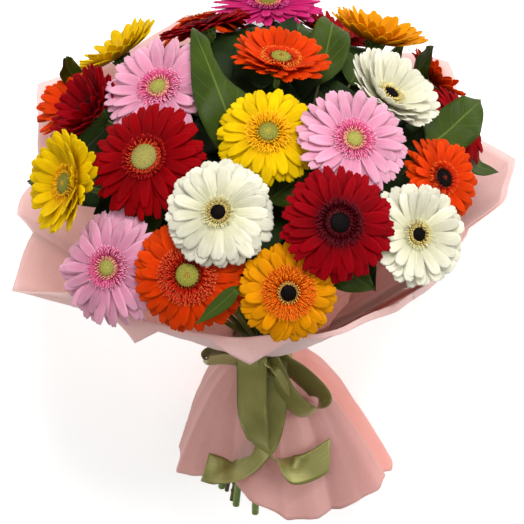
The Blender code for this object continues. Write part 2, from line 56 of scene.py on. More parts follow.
DOME_HEIGHT = 92 * MM
DOME_RADIUS = 250 * MM
DOME = TIE + AXIS * DOME_HEIGHT
DISC_SHARE = 0.26
DISC_MIDDLE = 4.81 * MM
GOLDEN_TURN = math.pi * (3 - math.sqrt(5))
BEND_MARGIN = 4 * MM
BEND_FADE = 22 * MM
VIEW_TILT = math.radians(72)
VIEWED_FROM = Vector((0, math.cos(VIEW_TILT), math.sin(VIEW_TILT)))
# How much the heads lean towards the side that is looked at, with the heads that lean more or less
LEAN = 0.26
LEANS = {1: 0.3, 2: 0.7, 3: 0, 4: 0.42, 6: 0, 7: 0.45, 11: -0.16, 12: -0.06, 13: 0.06, 14: 0.5, 15: -0.12,
         16: -0.1, 22: 0.06, 24: 0.1}
SLOTS = {row["node"]: row["material_slot"] for row in frame["record"]["subparts"]}


class Head:
    """One flower head: its centre, radius, facing direction and two directions across it."""

    def __init__(self, petals):
        self.petals = petals
        self.number = int(petals[5:7])
        self.colour = SLOTS[petals].removeprefix("petals_")
        self.disc = f"head_{self.number:02d}_disc_florets"
        self.dark_eyed = SLOTS[self.disc] == "disc_dark"
        corners = [tuple(round(c, 6) for c in vert.co) for vert in frame["nodes"][self.disc].data.vertices]
        points = np.array(sorted(set(corners)))
        middle = points.mean(axis=0)
        self.normal = Vector(np.linalg.svd(points - middle)[2][2])
        if self.normal.dot(Vector(middle) - TIE) < 0:
            self.normal.negate()
        self.centre = Vector(middle) - self.normal * DISC_MIDDLE
        self.radius = max(self.apart(Vector(point)) for point in points) / DISC_SHARE
        self.lift = (self.centre - DOME).length - DOME_RADIUS
        self.normal = (self.normal + VIEWED_FROM * LEANS.get(self.number, LEAN)).normalized()
        across = self.normal.cross(FRONT if abs(self.normal.dot(FRONT)) < 0.9 else AXIS).normalized()
        self.across = Matrix.Rotation(self.number * GOLDEN_TURN, 3, self.normal) @ across
        self.up = self.normal.cross(self.across)
        self.place = Matrix((self.across, self.up, self.normal)).transposed().to_4x4()
        self.place.translation = self.centre

    def apart(self, point):
        """Distance of a point from the line through the head's middle."""
        offset = point - self.centre
        return (offset - self.normal * offset.dot(self.normal)).length

    def fade(self, point):
        """1 over this head's petals, falling to 0 a little way outside them."""
        return min(max(1 - (self.apart(point) - self.radius - BEND_MARGIN) / BEND_FADE, 0), 1)

    def push_behind(self, point, depth):
        """How far a neighbour's point has to go down to pass behind this head's petals."""
        return max((point - self.centre).dot(self.normal) + depth, 0) * self.fade(point)


BUNCH = [Head(name) for name in sorted(frame["nodes"]) if name.endswith("_petals")]
for flower in BUNCH:
    flower.near = [other for other in BUNCH if other is not flower
                   and (other.centre - flower.centre).length < other.radius + flower.radius + BEND_FADE]
    flower.in_front = [other for other in flower.near if other.lift > flower.lift + MM]


# Ray petals
# A gerbera has about fifty strap-shaped petals in three layers. They are thin and velvety, with two grooves
# down each and a blunt, slightly notched tip, and they slide behind the petals of the heads in front.
def linear(red, green, blue):
    """A colour given as display values from 0 to 255, as the shader's own values."""
    values = [channel / 255 for channel in (red, green, blue)]
    return (*(v / 12.92 if v <= 0.04045 else ((v + 0.055) / 1.055) ** 2.4 for v in values), 1)


class Value:
    """A socket in a material; arithmetic on it adds Math nodes."""

    def __init__(self, tree, socket=None):
        self.tree = tree
        self.socket = socket

    def node(self, kind, inputs=(), output=0, **settings):
        """Adds a node: its settings first, then the values or links of its sockets."""
        made = self.tree.nodes.new("ShaderNode" + kind)
        for name, setting in settings.items():
            setattr(made, name, setting)
        for name, value in dict(inputs).items():
            if isinstance(value, Value):
                self.tree.links.new(value.socket, made.inputs[name])
            else:
                made.inputs[name].default_value = value
        return Value(self.tree, made.outputs[output])

    def math(self, operation, *values):
        return self.node("Math", enumerate(values), operation=operation)

    def __add__(self, other):
        return self.math("ADD", self, other)

    def __sub__(self, other):
        return self.math("SUBTRACT", self, other)

    def __rsub__(self, other):
        return self.math("SUBTRACT", other, self)

    def __mul__(self, other):
        return self.math("MULTIPLY", self, other)

    def __mod__(self, other):
        return self.math("FLOORED_MODULO", self, other)

    def __abs__(self):
        return self.math("ABSOLUTE", self)

    __radd__ = __add__
    __rmul__ = __mul__

    def mix(self, low, high):
        """Colour from low to high as this value goes from 0 to 1."""
        return self.node("Mix", {0: self, 6: low, 7: high}, 2, data_type="RGBA")

    def between(self, low, high):
        """This value from low to high, as 0 to 1 and clamped."""
        return self.node("MapRange", {"Value": self, "From Min": low, "From Max": high})

    def separate(self):
        return [self.node("SeparateXYZ", {"Vector": self}, k) for k in range(3)]

    def combine(self, x, y, z):
        return self.node("CombineXYZ", {"X": x, "Y": y, "Z": z})

    def surface(self):
        """The place across and along a sheet, from its own UV map."""
        return self.node("UVMap", uv_map="petal").separate()[:2]

    def noise(self, scale, detail=2.0, place=None):
        """A soft noise through the object, or through a place of its own."""
        place = place or self.node("TexCoord", output=3)
        return self.node("TexNoise", {"Vector": place, "Scale": scale, "Detail": detail})

    def darkened(self, shade):
        """This colour times a grey."""
        grey = self.combine(shade, shade, shade)
        return self.node("Mix", {0: 1.0, 6: self, 7: grey}, 2, data_type="RGBA", blend_type="MULTIPLY")


def new_material(name, **constants):
    """A Principled material: its node tree as a Value, and its shader with the constant sockets set."""
    made = bpy.data.materials.new(name)
    made.use_nodes = True
    shader = made.node_tree.nodes["Principled BSDF"]
    for socket, value in constants.items():
        shader.inputs[socket.replace("_", " ")].default_value = value
    return made, Value(made.node_tree), shader


def connect(tree, shader, base, roughness, height, strength, distance):
    """Joins colour, roughness and a bump height to a shader."""
    tree.tree.links.new(base.socket, shader.inputs["Base Color"])
    tree.tree.links.new(roughness.socket, shader.inputs["Roughness"])
    bump = tree.node("Bump", {"Height": height, "Strength": strength, "Distance": distance})
    tree.tree.links.new(bump.socket, shader.inputs["Normal"])


def let_light_through(tree, shader, colour, share):
    """Mixes a share of translucence into a thin material."""
    thin = tree.node("BsdfTranslucent", {"Color": colour})
    mixed = tree.node("MixShader", {0: share, 1: Value(tree.tree, shader.outputs[0]), 2: thin})
    surface = next(node for node in tree.tree.nodes if node.type == "OUTPUT_MATERIAL").inputs["Surface"]
    tree.tree.links.new(mixed.socket, surface)


def petal_material(colour, root, middle, tip):
    made, tree, shader = new_material(f"petal_{colour}", Specular_IOR_Level=0.04)
    across, along = tree.surface()
    tone = tree.node("Attribute", output=2, attribute_name="tone")
    threads = tree.noise(1.0, place=tree.combine(across * 26, along * 2.5, tone * 40))
    blotches = tree.noise(90.0)
    body = along.between(0.0, 0.5).mix(root, middle)
    edges = abs(across - 0.5).between(0.2, 0.5)
    base = (along.between(0.5, 1.0) * 0.6 + edges * 0.4).mix(body, tip)
    shade = threads.between(0.3, 0.7) * 0.24 + tone * 0.24 + blotches.between(0.3, 0.7) * 0.10 + 0.54
    connect(tree, shader, base.darkened(shade), threads * 0.15 + 0.45, threads, 0.6, 0.0009)
    let_light_through(tree, shader, tuple(channel ** 0.6 for channel in tip), 0.3)
    return made


PETAL_COLOURS = {
    "yellow": ((236, 168, 0), (248, 204, 2), (253, 220, 12)),
    "orange": ((196, 34, 2), (228, 60, 4), (240, 84, 12)),
    "dark_red": ((76, 0, 8), (150, 0, 13), (174, 8, 24)),
    "red": ((104, 0, 4), (156, 0, 8), (174, 6, 16)),
    "pink": ((222, 126, 164), (240, 164, 192), (250, 202, 220)),
    "white": ((220, 217, 170), (242, 238, 212), (251, 249, 234)),
    "magenta": ((160, 4, 84), (210, 26, 112), (228, 70, 142)),
    "amber": ((226, 108, 0), (240, 152, 2), (248, 176, 10)),
}
# Each kind's petals: how wide they are, where their tips start to narrow and how blunt the tips are
PETAL_FORMS = {
    "yellow": (1.16, 0.62, 2.3), "orange": (1.10, 0.60, 2.1), "dark_red": (1.10, 0.50, 1.75),
    "red": (1.10, 0.42, 1.55), "pink": (1.16, 0.52, 1.8), "white": (1.26, 0.70, 2.6),
    "magenta": (1.0, 0.45, 1.6), "amber": (1.16, 0.66, 2.4),
}
# Each layer: petals, reach as a share of the head's radius, width likewise, then heights in mm of its root,
# the pull on its middle and its tip
LAYERS = (
    (19, 1.00, 0.215, -2.0, 3.0, -5.5), (19, 0.97, 0.21, -0.5, 5.5, -2.5), (17, 0.86, 0.195, 1.0, 9.0, 1.5),
)
# Heads whose petals still stand up round the middle, with the rise of their tips in mm, and the most that a
# tip may rise, as a share of its petal's length
CUPPED = {1: 15, 2: 20, 3: 24, 4: 8, 6: 18, 11: 13, 12: 7, 13: 4, 14: 12, 15: 19, 16: 21, 17: 4, 19: 7,
          20: 10, 22: 14}
STEEPEST = 0.82
# Heads whose petals reach further than their kind's, or less far, as a share
REACHES = {7: 1.07, 9: 0.95, 13: 1.14, 15: 1.08}
PETAL_ROOT = 0.17
PETAL_ACROSS = 6
PETAL_ALONG = 8
TIP_CLUSTER = 1.7
PETAL_THICK = 0.5 * MM
GROOVE = 0.42 * MM
NOTCH = 0.02
SAG = 7 * MM
PETAL_DEPTH = 11 * MM
SHINGLE = 0.16
# Half-width of a petal at its foot and what it gains further out, and how far its tip narrows, as shares of
# its widest, and how much its edges droop, as a share of its half-width
FOOT_WIDTH = 0.60
WIDTH_GAIN = 0.50
TIP_NARROWS = 0.93
EDGE_DROOP = 0.12
# How petals differ from each other: in reach, as a share of the head's radius, in half-width, as a share of
# the layer's width, in the rise of the tip in mm, in roll and curl, in sag, and in their places in the ring
REACHES_DIFFER = (-0.035, 0.025)
HALVES_DIFFER = (0.46, 0.56)
TIPS_DIFFER = (-2.5, 2.0)
ROLLS_DIFFER = (-0.14, 0.14)
CURLS_DIFFER = (-0.06, 0.06)
SAGS_DIFFER = (0.6, 1.2)
PETALS_STRAY = 0.18


def petal_width(along, narrows, bluntness):
    """Half-width of a petal from root to tip, as a share of its widest."""
    swell = min(1, FOOT_WIDTH + WIDTH_GAIN * along ** 0.8)
    tip = max(0, (along - narrows) / (1 - narrows))
    return swell * math.sqrt(1 - TIP_NARROWS * tip ** bluntness)


def new_form():
    """An empty mesh with the UV map that the materials read."""
    bm = bmesh.new()
    bm.loops.layers.uv.new("petal")
    return bm


def new_sheet(bm, across, along):
    """The points of a new grid, with its UV running across and along it."""
    return bmesh.ops.create_grid(bm, x_segments=across, y_segments=along, size=1, calc_uvs=True)["verts"]


def turned(angle, out, side, height=0):
    """A point that lies outwards and sideways of a direction round a head's middle."""
    x = math.cos(angle) * out - math.sin(angle) * side
    return Vector((x, math.sin(angle) * out + math.cos(angle) * side, height))


def ring_angles(count, ring, stray, draw):
    """Directions round a ring, each a little off its place, with every second ring between the others."""
    for k in range(count):
        yield 2 * math.pi * (k + draw.uniform(-stray, stray) + ring * 0.5) / count


def add_petal(bm, tone_layer, head, layer, angle, draw):
    _, reach, width, root, pull, tip = layer
    reach += draw.uniform(*REACHES_DIFFER)
    length = head.radius * (reach - PETAL_ROOT) * REACHES.get(head.number, 1)
    broad, narrows, bluntness = PETAL_FORMS[head.colour]
    half = head.radius * width * broad * draw.uniform(*HALVES_DIFFER)
    tip += draw.uniform(*TIPS_DIFFER) + CUPPED.get(head.number, 0)
    tip = min(tip, STEEPEST * length / MM)
    length *= math.sqrt(1 - (tip * MM / length) ** 2)
    roll = SHINGLE + draw.uniform(*ROLLS_DIFFER)
    curl = draw.uniform(*CURLS_DIFFER)
    tone = draw.random()
    heading = head.across * math.cos(angle) + head.up * math.sin(angle)
    sag = SAG * max(0, -heading.dot(AXIS)) * draw.uniform(*SAGS_DIFFER)
    for vert in new_sheet(bm, PETAL_ACROSS, PETAL_ALONG):
        across = vert.co.x
        along = 1 - ((1 - vert.co.y) / 2) ** TIP_CLUSTER
        out = head.radius * PETAL_ROOT + length * (along - NOTCH * along ** 6 * (1 - abs(across)) ** 2)
        side = half * petal_width(along, narrows, bluntness) * across
        height = (root * (1 - along) ** 2 + pull * along * (1 - along) + tip * along ** 2) * MM
        height += GROOVE * math.cos(3 * math.pi * across) * math.sin(math.pi * along)
        height += side * roll * along - sag * along ** 3 - half * EDGE_DROOP * across ** 2 * along
        point = head.place @ turned(angle + curl * along ** 2, out, side)
        height -= max([other.push_behind(point, PETAL_DEPTH) for other in head.in_front], default=0)
        vert.co = point + head.normal * height
        vert[tone_layer] = tone


def placed(name, data):
    """A new object in the scene."""
    made = bpy.data.objects.new(name, data)
    bpy.context.scene.collection.objects.link(made)
    return made


def declare(piece, node, slot):
    """The whole bunch is one body; each piece is attached to it and the CAD node it replaces is hidden; slot
    is not used.
    """
    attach(piece, "root")
    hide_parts(node)
    return piece


def finish(name, bm, materials, node, slot):
    """Makes the mesh a piece of the bunch."""
    mesh = bpy.data.meshes.new(name)
    bm.to_mesh(mesh)
    bm.free()
    mesh.shade_smooth()
    piece = placed(name, mesh)
    for made in materials:
        mesh.materials.append(made)
    return declare(piece, node, slot)


def thicken(piece, thickness, offset=-1):
    solid = piece.modifiers.new("thickness", "SOLIDIFY")
    solid.thickness = thickness
    solid.offset = offset


petal_materials = {colour: petal_material(colour, *(linear(*stop) for stop in stops))
                   for colour, stops in PETAL_COLOURS.items()}
for flower in BUNCH:
    draw = random.Random(flower.number)
    bm = new_form()
    tone_layer = bm.verts.layers.float.new("tone")
    for order, layer in enumerate(LAYERS):
        for angle in ring_angles(layer[0], order, PETALS_STRAY, draw):
            add_petal(bm, tone_layer, flower, layer, angle, draw)
    petals = finish(flower.petals + "_dressed", bm, [petal_materials[flower.colour]], flower.petals,
                    SLOTS[flower.petals])
    thicken(petals, PETAL_THICK)


# Discs of florets
# The middle of each head: a low eye of closed buds, a ring of stamens and a fringe of short curved florets.
# Eye, ring and fringe each have their own colours, which differ from kind to kind.
def floret_material(name, low, high, turn_at=0.35):
    made, tree, shader = new_material(name, Specular_IOR_Level=0.08)
    along = tree.surface()[1]
    grain = tree.noise(900.0, 1.0)
    base = along.between(turn_at, 0.97).mix(low, high)
    shade = grain.between(0.3, 0.7) * 0.4 + 0.7
    connect(tree, shader, base.darkened(shade), grain * 0.2 + 0.5, grain, 0.4, 0.0003)
    return made


# Kind of disc: radii of the eye, the stamens and the fringe as shares of the head's, then the colours of the
# eye, the stamens' foot and tip and the fringe's foot and tip
DISCS = {
    "yellow": (0.18, 0.23, 0.44,
        (124, 122, 50), (176, 132, 16), (232, 184, 40), (232, 160, 0), (250, 208, 36)),
    "orange": (0.20, 0.24, 0.52,
        (134, 130, 54), (104, 18, 8), (178, 58, 28), (176, 24, 4), (240, 124, 66)),
    "dark_red": (0.17, 0.26, 0.42,
        (14, 4, 6), (30, 2, 6), (96, 10, 20), (60, 0, 8), (134, 16, 32)),
    "red": (0.22, 0.29, 0.36,
        (140, 132, 70), (138, 14, 4), (216, 76, 36), (140, 2, 4), (206, 40, 22)),
    "pink": (0.14, 0.20, 0.40,
        (142, 138, 68), (208, 116, 106), (238, 178, 150), (212, 84, 130), (250, 196, 216)),
    "white": (0.13, 0.19, 0.26,
        (18, 8, 8), (140, 118, 50), (236, 214, 136), (206, 196, 140), (240, 230, 184)),
    "magenta": (0.17, 0.24, 0.40,
        (116, 106, 42), (150, 40, 60), (226, 130, 110), (150, 4, 76), (232, 92, 158)),
    "amber": (0.16, 0.22, 0.56,
        (18, 8, 8), (96, 40, 6), (246, 190, 92), (214, 84, 0), (248, 158, 34)),
}
# Kinds whose eye has a dark dimple in its middle, and heads with a shorter and brighter fringe: its radius as
# a share of its kind's, and the colours of its foot and tip
DIMPLED = ("orange", "yellow")
OWN_FRINGE = {11: (0.86, (214, 50, 2), (252, 166, 60)), 19: (0.7, (204, 40, 2), (240, 112, 36))}
DIMPLE = 0.28
EYE_DARK = (9, 3, 3)
EYE_LIGHTER = 1.6
EYE_HEIGHT = 5.2 * MM
EYE_CROWN = 1.6 * MM
BUD_SPACING = 1.35 * MM
BUD = 0.78 * MM
STAMEN_HEIGHT = 8.0 * MM
STAMEN = 0.5 * MM
STAMEN_ROWS = 26
STAMEN_SPACING = 1.3 * MM
STAMEN_LEAN = 1.2 * MM
STAMENS_STRAY = 0.3
FRINGE_SPACING = 1.5 * MM
FRINGE_HALF = 0.62 * MM
FRINGE_REACH = 5.2 * MM
FRINGE_TIP = 0.72
FRINGE_BASE = 3.0 * MM
FRINGE_RISE = 4.6 * MM
FRINGE_FALL = 2.2 * MM
FRINGE_STRAY = 0.35
BED_HEIGHT = 2.4 * MM


def paint(verts, index):
    """Gives the faces round these points one of the piece's materials."""
    for face in {face for vert in verts for face in vert.link_faces}:
        face.material_index = index


def add_rod(bm, foot, tip, low, high, material_index):
    """A short tapered rod with its UV running from foot to tip."""
    heading = tip - foot
    turn = Vector((0, 0, 1)).rotation_difference(heading).to_matrix().to_4x4()
    turn.translation = (foot + tip) / 2
    rod = bmesh.ops.create_cone(bm, cap_ends=True, segments=5, radius1=low, radius2=high,
                                depth=heading.length, matrix=turn)
    paint(rod["verts"], material_index)
    uv = bm.loops.layers.uv.verify()
    for vert in rod["verts"]:
        share = (vert.co - foot).dot(heading) / heading.length_squared
        for loop in vert.link_loops:
            loop[uv].uv = (0.5, min(max(share, 0), 1))


def add_floret(bm, start, reach, rise, angle, half, draw):
    """A short curved petal of the fringe, rising and then bending outwards."""
    blade = new_sheet(bm, 2, 4)
    sway = draw.uniform(-0.35, 0.35)
    for vert in blade:
        along = (vert.co.y + 1) / 2
        out = start + reach * along ** 1.25
        side = vert.co.x * half * (1 - 0.75 * along ** 2) + reach * sway * along ** 2
        height = FRINGE_BASE + rise * math.sin(along * 2.1) - abs(vert.co.x) * half * 0.5
        vert.co = turned(angle, out, side, height)
    paint(blade, 2)


for flower in BUNCH:
    draw = random.Random(100 + flower.number)
    kind = DISCS[flower.colour]
    eye, stamens, fringe = (share * flower.radius for share in kind[:3])
    eye_colour, *others = kind[3:]
    if flower.number in OWN_FRINGE:
        share, *others[2:] = OWN_FRINGE[flower.number]
        fringe *= share
    if flower.dark_eyed:
        eye_colour = EYE_DARK
    shades = [linear(*colour) for colour in (eye_colour, *others)]
    eye_high = tuple(min(1, channel * EYE_LIGHTER) for channel in shades[0])
    materials = [floret_material(flower.disc + "_eye", shades[0], eye_high),
                 floret_material(flower.disc + "_stamens", shades[1], shades[2]),
                 floret_material(flower.disc + "_fringe", shades[3], shades[4], FRINGE_TIP)]
    bm = new_form()
    for wide, tall, height, index in ((stamens, BED_HEIGHT, BED_HEIGHT, 1), (eye, EYE_CROWN, EYE_HEIGHT, 0)):
        dome = bmesh.ops.create_uvsphere(bm, u_segments=24, v_segments=8, radius=1, calc_uvs=True)["verts"]
        bmesh.ops.scale(bm, vec=(wide, wide, tall), verts=dome)
        bmesh.ops.translate(bm, vec=(0, 0, height), verts=dome)
        paint(dome, index)
    buds = int((eye / BUD_SPACING) ** 2 * 3)
    for k in range(buds):
        out = eye * math.sqrt((k + 0.5) / buds)
        angle = k * GOLDEN_TURN
        crown = EYE_HEIGHT + EYE_CROWN * math.sqrt(max(0, 1 - (out / eye) ** 2)) * 0.9
        foot = turned(angle, out, 0, crown)
        tip = foot + Vector((foot.x * 0.02, foot.y * 0.02, BUD))
        dimple = flower.colour in DIMPLED and out < eye * DIMPLE
        add_rod(bm, foot, tip, BUD * 0.8, BUD * 0.35, int(dimple))
    rings = max(1, round((stamens - eye) / STAMEN_SPACING))
    for ring in range(rings):
        out = eye + (stamens - eye) * (ring + 0.3) / rings
        for angle in ring_angles(round(STAMEN_ROWS * out / stamens), ring, STAMENS_STRAY, draw):
            foot = turned(angle, out, 0, BED_HEIGHT)
            tip = turned(angle, out + STAMEN_LEAN, 0, STAMEN_HEIGHT * draw.uniform(0.8, 1.05))
            add_rod(bm, foot, tip, STAMEN, STAMEN * 0.8, 1)
    rings = max(1, round((fringe - stamens) / FRINGE_SPACING))
    for ring in range(rings):
        out = stamens + (fringe - FRINGE_REACH * 0.6 - stamens) * ring / rings
        count = round(2 * math.pi * out / (2.7 * FRINGE_HALF))
        for angle in ring_angles(count, ring, FRINGE_STRAY, draw):
            reach = FRINGE_REACH * draw.uniform(0.75, 1.1)
            rise = (FRINGE_RISE - FRINGE_FALL * ring / rings) * draw.uniform(0.7, 1.15)
            add_floret(bm, out, reach, rise, angle, FRINGE_HALF, draw)
    bm.transform(flower.place)
    finish(flower.disc + "_dressed", bm, materials, flower.disc, SLOTS[flower.disc])


# Stems and calyxes
# Every head stands on its own stem, which ends under it in a cup of small overlapping bracts. The stems are
# pressed together where they are tied, cross there, and are cut off below the wrap.
CUP_TOP = -2.2 * MM
CUP_FOOT = -16.4 * MM
CUP_RADIUS = 8.8 * MM
CUP_NECK = 3.4 * MM
BRACTS = 13
BRACT_ROWS = ((0.0, 0.62), (0.25, 0.85), (0.48, 1.0))
STEM_RADIUS = 2.7 * MM
TWIG_RADIUS = 1.2 * MM
CORE_HALF = 34 * MM
STEM_SUNK = 6 * MM
SLOT_SCALE = 0.108
CUT_LOW = 194 * MM
CUT_SPREAD = 43 * MM
CUT_SCATTER = 14 * MM
CUT_START = 19 * MM
# How much thicker a stem is at its cut end, and how far its bends reach at the head and at the bundle, as
# shares of its length
CUT_SWELL = 1.35
HEAD_HANDLE = 0.35
BUNDLE_HANDLE = 0.3
BRACT_THICK = 0.5 * MM


def green_material(name, low, high, roughness, **constants):
    made, tree, shader = new_material(name, **constants)
    patches = tree.noise(45.0, 3.0)
    grain = tree.noise(700.0)
    base = patches.between(0.3, 0.7).mix(linear(*low), linear(*high))
    connect(tree, shader, base, grain * 0.2 + roughness, grain + patches, 0.3, 0.0004)
    return made


def away(turn):
    """Direction away from the bunch's axis."""
    return FRONT * math.cos(turn) + RIGHT * math.sin(turn)


def along(height, radius, turn):
    """Point at a height along the bunch's axis and a distance from it."""
    return TIE + AXIS * height + away(turn) * radius


def soft_line(points, steps):
    """Points on a soft curve that passes through the given ones."""
    ends = [points[0] * 2 - points[1], *points, points[-1] * 2 - points[-2]]
    made = []
    for before, start, end, after in zip(ends, ends[1:], ends[2:], ends[3:]):
        for t in (k / steps for k in range(steps)):
            made.append((start * 2 + (end - before) * t + (before * 2 - start * 5 + end * 4 - after) * t * t
                         + (start * 3 - before - end * 3 + after) * t ** 3) / 2)
    return made + [points[-1]]


def arc(start, leave, arrive, end, steps):
    """Points on a curve from start to end with the given handles."""
    return [start * (1 - t) ** 3 + leave * 3 * t * (1 - t) ** 2 + arrive * 3 * t * t * (1 - t) + end * t ** 3
            for t in (k / steps for k in range(steps + 1))]


def rods(name, lines, sides_step, material, node, slot):
    """One curve object of round rods, from lists of points and a radius each."""
    curve = bpy.data.curves.new(name, "CURVE")
    curve.dimensions = "3D"
    curve.bevel_depth = 1.0
    curve.bevel_resolution = sides_step
    curve.use_fill_caps = True
    for points, radius in lines:
        spline = curve.splines.new("POLY")
        spline.points.add(len(points) - 1)
        for made, point in zip(spline.points, points):
            made.co = (*point, 1)
            made.radius = radius
        spline.use_smooth = True
    curve.materials.append(material)
    declare(placed(name, curve), node, slot)


def add_bract(bm, low, high, angle):
    for vert in new_sheet(bm, 2, 4):
        share = low + (high - low) * (vert.co.y + 1) / 2
        taper = 1 - ((vert.co.y + 1) / 2) ** 2
        proud = (0.9 + 0.5 * share) * MM - abs(vert.co.x) * 0.5 * MM
        out = CUP_NECK + (CUP_RADIUS - CUP_NECK) * share ** 0.6 + proud
        turn = angle + vert.co.x * taper * 2.6 / BRACTS
        vert.co = turned(turn, out, 0, CUP_FOOT + (CUP_TOP - CUP_FOOT) * share)


stem_green = green_material("stem_green", (86, 116, 40), (126, 150, 66), 0.42, Coat_Weight=0.1)
draw = random.Random(7)
lines = []
calyxes = new_form()
for index, flower in enumerate(BUNCH):
    cup = new_form()
    middle = Matrix.Translation((0, 0, (CUP_TOP + CUP_FOOT) / 2))
    bmesh.ops.create_cone(cup, cap_ends=True, segments=20, radius1=CUP_NECK, radius2=CUP_RADIUS - MM,
                          depth=CUP_TOP - CUP_FOOT, matrix=middle)
    for row, (low, high) in enumerate(BRACT_ROWS):
        for k in range(BRACTS):
            add_bract(cup, low, high, 2 * math.pi * (k + row / 2) / BRACTS)
    cup.transform(flower.place)
    made = bpy.data.meshes.new("cup")
    cup.to_mesh(made)
    cup.free()
    calyxes.from_mesh(made)
    bpy.data.meshes.remove(made)
    start = flower.centre + flower.normal * (CUP_FOOT - MM)
    offset = flower.centre - TIE
    end = TIE + AXIS * (CORE_HALF - STEM_SUNK) + (offset - AXIS * offset.dot(AXIS)) * SLOT_SCALE
    reach = (end - start).length
    upper = arc(start, start - flower.normal * reach * HEAD_HANDLE,
                end + offset.normalized() * reach * BUNDLE_HANDLE, end, 12)
    angle = index * GOLDEN_TURN
    spread = math.sqrt((index + 0.5) / len(BUNCH))
    cut = CUT_LOW + CUT_SCATTER * draw.uniform(-1, 1)
    low_end = along(-cut, CUT_SPREAD * spread, angle)
    low_end.z = max(low_end.z, 2 * STEM_RADIUS)
    lower = soft_line([along(STEM_SUNK - CORE_HALF, CUT_START * spread, angle), low_end], 6)
    lines.append(([flower.centre + flower.normal * CUP_FOOT * 0.6, *upper, *lower], STEM_RADIUS))
    lines.append(([lower[-3], lower[-1]], STEM_RADIUS * CUT_SWELL))
rods("flower_stems", lines, 3, stem_green, "flower_stems_with_cups", "stem")
calyx_green = green_material("calyx_green", (70, 98, 30), (108, 130, 54), 0.5, Specular_IOR_Level=0.2)
thicken(finish("calyxes", calyxes, [calyx_green], "flower_stems_with_cups", "stem"), BRACT_THICK)


# Leafy stems
# Broad, pointed, glossy leaves on thin woody twigs, pushed in between the heads. Each leaf has a midrib,
# arched side veins and a slightly waved edge.
# A stem: its place in the bundle as (radius in mm, turn), then its leaves as foot and tip (tilt, turn, lift
# off the dome in mm), width in mm and the heads it passes over, or those it stands beside, below zero
LEAFY_STEMS = (
    ((23, -93), ((57, -123, -14), (45, -112, 24), 24, (-1, -2, -3)), ((34, -64, -62), (40, -68, -20), 32, ()),
     ((54, -78, -27), (62, -88, -9), 14, ())),
    ((6.5, -33), ((27, -8, -26), (13, -106, 12), 46, (4, -12)), ((40, -36, -30), (50, -46, -26), 34, ())),
    ((9.5, 157), ((13, 90, -30), (25, 143, 10), 39, (14,)), ((22, 105, -34), (32, 127, -8), 40, ()),
     ((14, 152, -34), (24, 159, -10), 40, ()), ((28, 173, -36), (40, 175, -9), 40, ()),
     ((30, 162, -36), (41, 164, -8), 40, ())),
    ((23, 141), ((42, 124, -24), (38, 126, 6), 20, ()), ((46, 122, -30), (38, 112, 21), 28, (-15, -22)),
     ((49, 137, -24), (50, 135, 17), 36, ())),
    ((23, 78), ((40, 72, -14), (46, 94, 22), 46, (21, 22)), ((53, 92, -22), (61, 90, 0), 34, ())),
    ((16.3, 7), ((34, 2, -32), (29, 30, -24), 34, ()), ((53, -4, -20), (61, -14, 0), 14, (8,)),
     ((49, 18, -30), (58, 30, -24), 32, ())),
)
LEAF_VIEWED = (50, 0)
LEAF_ACROSS = 10
LEAF_ALONG = 22
LEAF_THICK = 0.6 * MM
# A leaf's outline: the powers that shape its foot and its tip, and what they come to where it is widest
LEAF_FOOT = 0.7
LEAF_TIP = 1.15
LEAF_WIDEST = 0.293
LEAF_FOLD = 0.16
LEAF_ARCH = 0.08
LEAF_DEPTH = 12 * MM
LEAF_CLEAR = 9 * MM
LEAF_LEVEL = 20 * MM
LEAF_WAVE = 1.3 * MM
SIDE_VEINS = 7
# How far a twig's bends reach at its start and at the leaf, as shares of its length
TWIG_HANDLE = 0.4
RIB_HANDLE = 0.15
# How thin a side twig and a dark leaf's twig are, as shares of the first twig's radius
SIDE_TWIG = 0.8
DEEP_TWIG = 0.6
# Darker leaves lower down, which fill the bunch between the stems; their darker green is painted shade, the
# shade deep between the heads: how many, out to which tilt, how far below the dome their feet and tips are,
# how much higher their tips are behind and how much lower their feet are at the sides, how much of the tilt
# they span, the rings of them that share a twig and how far out the twig forks, and their width
DEEP_LEAVES = 90
DEEP_TILT = 61
DEEP_FOOT = -66
DEEP_TIPS = (-44, -28)
DEEP_BEHIND = 28
DEEP_LOWER = 34
DEEP_SPAN = 18
DEEP_BANDS = 3
DEEP_FORK = 0.72
DEEP_WIDTH = 48
DEEP_CELLS = (6, 10)


def dome_point(tilt, turn, lift):
    """Point over the dome of heads, at a tilt from the axis and a turn round it, lifted off it in mm."""
    tilt = math.radians(tilt)
    heading = AXIS * math.cos(tilt) + away(math.radians(turn)) * math.sin(tilt)
    return DOME + heading * (DOME_RADIUS + lift * MM)


def pass_heads(point, over):
    """Shift that takes a leaf's point over the heads it lies on and behind all others."""
    shift = Vector((0, 0, 0))
    for head in BUNCH:
        if head.number in over:
            height = (point - head.centre).dot(head.normal)
            clear = LEAF_CLEAR + CUPPED.get(head.number, 0) * MM
            rise = max(clear - height, 0) * head.fade(point) if height > -LEAF_LEVEL else 0
            move = head.normal * rise
        elif -head.number not in over:
            move = head.normal * -head.push_behind(point, LEAF_DEPTH)
        else:
            continue
        if move.length > shift.length:
            shift = move
    return shift


